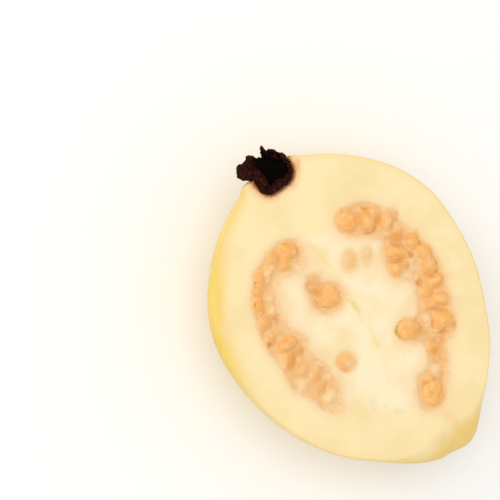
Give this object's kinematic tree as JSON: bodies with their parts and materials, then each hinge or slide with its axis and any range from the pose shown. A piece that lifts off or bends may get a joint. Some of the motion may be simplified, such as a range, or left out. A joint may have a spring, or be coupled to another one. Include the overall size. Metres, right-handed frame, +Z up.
{
  "type": "halved guava",
  "caption": "Ripe yellow guava half lying cut face up, with creamy flesh, arches of amber seeds, a dry brown calyx and a blunt stem nub.",
  "frame": {"origin": "centre of the small flat spot at the bottom of the round back, on which the half rests, under its centre of mass", "axes": "+Z up and square to the cut face; +Y along the fruit towards the calyx, -Y towards the stem nub; +X across the cut face"},
  "size_m": [0.0617, 0.0854, 0.0294],
  "materials": {
    "flesh": "moist cut flesh, creamy; thin yellow peel with fine pores on the round back",
    "seed": "moist amber seeds in pale pulp",
    "dry_sepal": "dry, crumpled, matt"
  },
  "bodies": {
    "root": {"fruit_half": "flesh", "seeds_left": "seed", "seeds_right": "seed", "seed_pair": "seed", "seed_upper_left": "seed", "seed_upper_right": "seed", "seed_lower": "seed", "calyx": "dry_sepal"}
  },
  "joints": []
}
